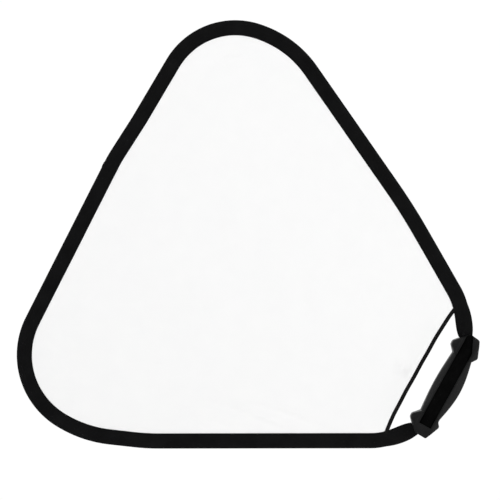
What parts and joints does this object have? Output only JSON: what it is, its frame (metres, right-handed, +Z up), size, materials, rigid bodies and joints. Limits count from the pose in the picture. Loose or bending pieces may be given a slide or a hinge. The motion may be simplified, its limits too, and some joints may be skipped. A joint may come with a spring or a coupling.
{
  "type": "collapsible light panel",
  "caption": "Springy-band light panel with a rounded triangular black rim, a white sheet and a moulded handle; it twists and coils flat for storage.",
  "frame": {"origin": "on the steel band, halfway along the handle", "axes": "+X to the right seen from the front, +Z up, the front faces -Y; the panel lies in the XZ plane"},
  "size_m": [0.6022, 0.039, 0.5582],
  "materials": {
    "handle_shell": "satin moulded black plastic with a fine spark texture",
    "soft_grip": "matt black soft-touch rubber",
    "rim_fabric": "black polyester binding, fine plain weave, stitched along its inner edge",
    "sheet_fabric": "white translucent nylon, fine weave, faint creases",
    "binding_tape": "black folded tape",
    "band_steel": "blued spring steel strip",
    "clamp_steel": "zinc plated steel",
    "screw_steel": "black oxide steel"
  },
  "bodies": {
    "handle": {"handle_front": "handle_shell", "handle_rear": "handle_shell", "grip_strip_front": "soft_grip", "grip_strip_rear": "soft_grip", "band_clamp_inner": "clamp_steel", "band_clamp_outer": "clamp_steel", "clamp_screws": "clamp_steel", "case_screws": "screw_steel", "band_in_handle": "band_steel", "rim_sleeve": "rim_fabric", "sleeve_rivet": "screw_steel", "white_sheet": "sheet_fabric", "gap_binding": "binding_tape"},
    "link_a1": {"band_a1": "band_steel"},
    "link_a2": {"band_a2": "band_steel"},
    "link_a3": {"band_a3": "band_steel"},
    "link_a4": {"band_a4": "band_steel"},
    "link_a5": {"band_a5": "band_steel"},
    "link_a6": {"band_a6": "band_steel"},
    "link_a7": {"band_a7": "band_steel"},
    "link_a8": {"band_a8": "band_steel"},
    "link_a9": {"band_a9": "band_steel"},
    "link_a10": {"band_a10": "band_steel"},
    "link_a11": {"band_a11": "band_steel"},
    "link_a12": {"band_a12": "band_steel"},
    "link_a13": {"band_a13": "band_steel"},
    "link_a14": {"band_a14": "band_steel", "band_ferrule": "clamp_steel", "ferrule_rivets": "clamp_steel"},
    "link_b1": {"band_b1": "band_steel"},
    "link_b2": {"band_b2": "band_steel"},
    "link_b3": {"band_b3": "band_steel"},
    "link_b4": {"band_b4": "band_steel"},
    "link_b5": {"band_b5": "band_steel"},
    "link_b6": {"band_b6": "band_steel"},
    "link_b7": {"band_b7": "band_steel"},
    "link_b8": {"band_b8": "band_steel"},
    "link_b9": {"band_b9": "band_steel"},
    "link_b10": {"band_b10": "band_steel"},
    "link_b11": {"band_b11": "band_steel"},
    "link_b12": {"band_b12": "band_steel"},
    "link_b13": {"band_b13": "band_steel"},
    "link_b14": {"band_b14": "band_steel"}
  },
  "joints": [
    {"name": "fold_a1", "type": "hinge", "parent": "handle", "child": "link_a1", "pos_m": [0.032, 0, 0.06846], "axis": [-0.2217, -0.9726, -0.0704], "range_deg": [-0.5, 16.14], "stiffness_Nm_per_rad": 15.43},
    {"name": "fold_a2", "type": "hinge", "parent": "link_a1", "child": "link_a2", "pos_m": [0.02244, 0, 0.12261], "axis": [0.325, -0.9401, -0.1033], "range_deg": [-0.5, 6.43], "stiffness_Nm_per_rad": 15.43},
    {"name": "fold_a3", "type": "hinge", "parent": "link_a2", "child": "link_a3", "pos_m": [-0.00536, 0, 0.17122], "axis": [0.0377, -0.9992, -0.0114], "range_deg": [-0.5, 27.04], "stiffness_Nm_per_rad": 15.43},
    {"name": "fold_a4", "type": "hinge", "parent": "link_a3", "child": "link_a4", "pos_m": [-0.03348, 0, 0.21965], "axis": [0.0211, -0.9997, -0.0127], "range_deg": [-0.5, 25.44], "stiffness_Nm_per_rad": 15.43},
    {"name": "fold_a5", "type": "hinge", "parent": "link_a4", "child": "link_a5", "pos_m": [-0.06432, 0, 0.26638], "axis": [0.0121, -0.9999, -0.0123], "range_deg": [-0.5, 28.58], "stiffness_Nm_per_rad": 15.43},
    {"name": "fold_a6", "type": "hinge", "parent": "link_a5", "child": "link_a6", "pos_m": [-0.0963, 0, 0.31235], "axis": [0.009, -0.9999, -0.0123], "range_deg": [-0.5, 31.66], "stiffness_Nm_per_rad": 15.43},
    {"name": "fold_a7", "type": "hinge", "parent": "link_a6", "child": "link_a7", "pos_m": [-0.12829, 0, 0.35831], "axis": [0.0083, -0.9999, -0.0129], "range_deg": [-0.5, 33.85], "stiffness_Nm_per_rad": 15.43},
    {"name": "fold_a8", "type": "hinge", "parent": "link_a7", "child": "link_a8", "pos_m": [-0.16027, 0, 0.40428], "axis": [0.0121, -0.9998, -0.0168], "range_deg": [-0.5, 26.64], "stiffness_Nm_per_rad": 15.43},
    {"name": "fold_a9", "type": "hinge", "parent": "link_a8", "child": "link_a9", "pos_m": [-0.19841, 0, 0.44483], "axis": [0.0348, -0.999, -0.0277], "range_deg": [-0.5, 13.43], "stiffness_Nm_per_rad": 15.43},
    {"name": "fold_a10", "type": "hinge", "parent": "link_a9", "child": "link_a10", "pos_m": [-0.2492, 0, 0.46747], "axis": [0.0785, -0.9968, -0.0168], "range_deg": [-0.5, 8.05], "stiffness_Nm_per_rad": 15.43},
    {"name": "fold_a11", "type": "hinge", "parent": "link_a10", "child": "link_a11", "pos_m": [-0.30427, 0, 0.46268], "axis": [0.1104, -0.9931, 0.0385], "range_deg": [-0.5, 5.95], "stiffness_Nm_per_rad": 15.43},
    {"name": "fold_a12", "type": "hinge", "parent": "link_a11", "child": "link_a12", "pos_m": [-0.34837, 0, 0.42937], "axis": [0.0269, -0.9992, 0.0284], "range_deg": [-0.5, 17.81], "stiffness_Nm_per_rad": 15.43},
    {"name": "fold_a13", "type": "hinge", "parent": "link_a12", "child": "link_a13", "pos_m": [-0.3774, 0, 0.3815], "axis": [0.0096, -0.9998, 0.0152], "range_deg": [-0.5, 40.16], "stiffness_Nm_per_rad": 15.43},
    {"name": "fold_a14", "type": "hinge", "parent": "link_a13", "child": "link_a14", "pos_m": [-0.40632, 0, 0.33355], "axis": [0.0095, -0.9998, 0.0151], "range_deg": [-0.5, 41.12], "stiffness_Nm_per_rad": 15.43},
    {"name": "fold_b1", "type": "hinge", "parent": "handle", "child": "link_b1", "pos_m": [-0.04167, 0, -0.06291], "axis": [-0.0591, 0.9554, 0.2892], "range_deg": [0, 12.06], "stiffness_Nm_per_rad": 14.26, "deforming": ["rim_sleeve", "white_sheet", "gap_binding"]},
    {"name": "fold_b2", "type": "hinge", "parent": "link_b1", "child": "link_b2", "pos_m": [-0.09823, 0, -0.08055], "axis": [0.1454, 0.98, -0.1357], "range_deg": [-0.5, 10.99], "stiffness_Nm_per_rad": 14.26},
    {"name": "fold_b3", "type": "hinge", "parent": "link_b2", "child": "link_b3", "pos_m": [-0.15883, 0, -0.08064], "axis": [0.0266, 0.9994, -0.023], "range_deg": [-0.5, 29.89], "stiffness_Nm_per_rad": 14.26},
    {"name": "fold_b4", "type": "hinge", "parent": "link_b3", "child": "link_b4", "pos_m": [-0.21943, 0, -0.08074], "axis": [0.0184, 0.9998, -0.0077], "range_deg": [-0.5, 31.45], "stiffness_Nm_per_rad": 14.26},
    {"name": "fold_b5", "type": "hinge", "parent": "link_b4", "child": "link_b5", "pos_m": [-0.28003, 0, -0.08084], "axis": [0.0158, 0.9999, -0.0018], "range_deg": [-0.5, 32.94], "stiffness_Nm_per_rad": 14.26},
    {"name": "fold_b6", "type": "hinge", "parent": "link_b5", "child": "link_b6", "pos_m": [-0.34062, 0, -0.08093], "axis": [0.0161, 0.9999, -0.0001], "range_deg": [-0.5, 33.56], "stiffness_Nm_per_rad": 14.26},
    {"name": "fold_b7", "type": "hinge", "parent": "link_b6", "child": "link_b7", "pos_m": [-0.40115, 0, -0.07909], "axis": [0.0192, 0.9998, -0.0008], "range_deg": [-0.5, 30.23], "stiffness_Nm_per_rad": 14.26},
    {"name": "fold_b8", "type": "hinge", "parent": "link_b7", "child": "link_b8", "pos_m": [-0.46092, 0, -0.06977], "axis": [0.0308, 0.9995, -0.0084], "range_deg": [-0.5, 19.53], "stiffness_Nm_per_rad": 14.26},
    {"name": "fold_b9", "type": "hinge", "parent": "link_b8", "child": "link_b9", "pos_m": [-0.51401, 0, -0.04146], "axis": [0.0541, 0.9975, -0.0461], "range_deg": [-0.5, 9.58], "stiffness_Nm_per_rad": 14.26},
    {"name": "fold_b10", "type": "hinge", "parent": "link_b9", "child": "link_b10", "pos_m": [-0.54542, 0, 0.00938], "axis": [0.0276, 0.9956, -0.0893], "range_deg": [-0.5, 7.79], "stiffness_Nm_per_rad": 14.26},
    {"name": "fold_b11", "type": "hinge", "parent": "link_b10", "child": "link_b11", "pos_m": [-0.544, 0, 0.06912], "axis": [-0.0085, 0.9992, -0.0399], "range_deg": [-0.5, 18.37], "stiffness_Nm_per_rad": 14.26},
    {"name": "fold_b12", "type": "hinge", "parent": "link_b11", "child": "link_b12", "pos_m": [-0.51779, 0, 0.1237], "axis": [-0.0078, 0.9998, -0.0167], "range_deg": [-0.5, 42.44], "stiffness_Nm_per_rad": 14.26},
    {"name": "fold_b13", "type": "hinge", "parent": "link_b12", "child": "link_b13", "pos_m": [-0.4904, 0, 0.17775], "axis": [-0.008, 0.9998, -0.0163], "range_deg": [-0.5, 44.13], "stiffness_Nm_per_rad": 14.26},
    {"name": "fold_b14", "type": "hinge", "parent": "link_b13", "child": "link_b14", "pos_m": [-0.46302, 0, 0.23181], "axis": [-0.0082, 0.9998, -0.0164], "range_deg": [-0.5, 44.4], "stiffness_Nm_per_rad": 14.26}
  ],
  "couplings": [
    {"joint": "fold_a1", "follows": "fold_b1", "ratio": 1.2972},
    {"joint": "fold_a2", "follows": "fold_b1", "ratio": 0.49203},
    {"joint": "fold_a3", "follows": "fold_b1", "ratio": 2.2005},
    {"joint": "fold_a4", "follows": "fold_b1", "ratio": 2.0681},
    {"joint": "fold_a5", "follows": "fold_b1", "ratio": 2.3288},
    {"joint": "fold_a6", "follows": "fold_b1", "ratio": 2.584},
    {"joint": "fold_a7", "follows": "fold_b1", "ratio": 2.7658},
    {"joint": "fold_a8", "follows": "fold_b1", "ratio": 2.1679},
    {"joint": "fold_a9", "follows": "fold_b1", "ratio": 1.0718},
    {"joint": "fold_a10", "follows": "fold_b1", "ratio": 0.62584},
    {"joint": "fold_a11", "follows": "fold_b1", "ratio": 0.45162},
    {"joint": "fold_a12", "follows": "fold_b1", "ratio": 1.4353},
    {"joint": "fold_a13", "follows": "fold_b1", "ratio": 3.2884},
    {"joint": "fold_a14", "follows": "fold_b1", "ratio": 3.3683},
    {"joint": "fold_b2", "follows": "fold_b1", "ratio": 0.86956},
    {"joint": "fold_b3", "follows": "fold_b1", "ratio": 2.4371},
    {"joint": "fold_b4", "follows": "fold_b1", "ratio": 2.5663},
    {"joint": "fold_b5", "follows": "fold_b1", "ratio": 2.6899},
    {"joint": "fold_b6", "follows": "fold_b1", "ratio": 2.7416},
    {"joint": "fold_b7", "follows": "fold_b1", "ratio": 2.4656},
    {"joint": "fold_b8", "follows": "fold_b1", "ratio": 1.5779},
    {"joint": "fold_b9", "follows": "fold_b1", "ratio": 0.75295},
    {"joint": "fold_b10", "follows": "fold_b1", "ratio": 0.60425},
    {"joint": "fold_b11", "follows": "fold_b1", "ratio": 1.4816},
    {"joint": "fold_b12", "follows": "fold_b1", "ratio": 3.4778},
    {"joint": "fold_b13", "follows": "fold_b1", "ratio": 3.6176},
    {"joint": "fold_b14", "follows": "fold_b1", "ratio": 3.6406}
  ]
}
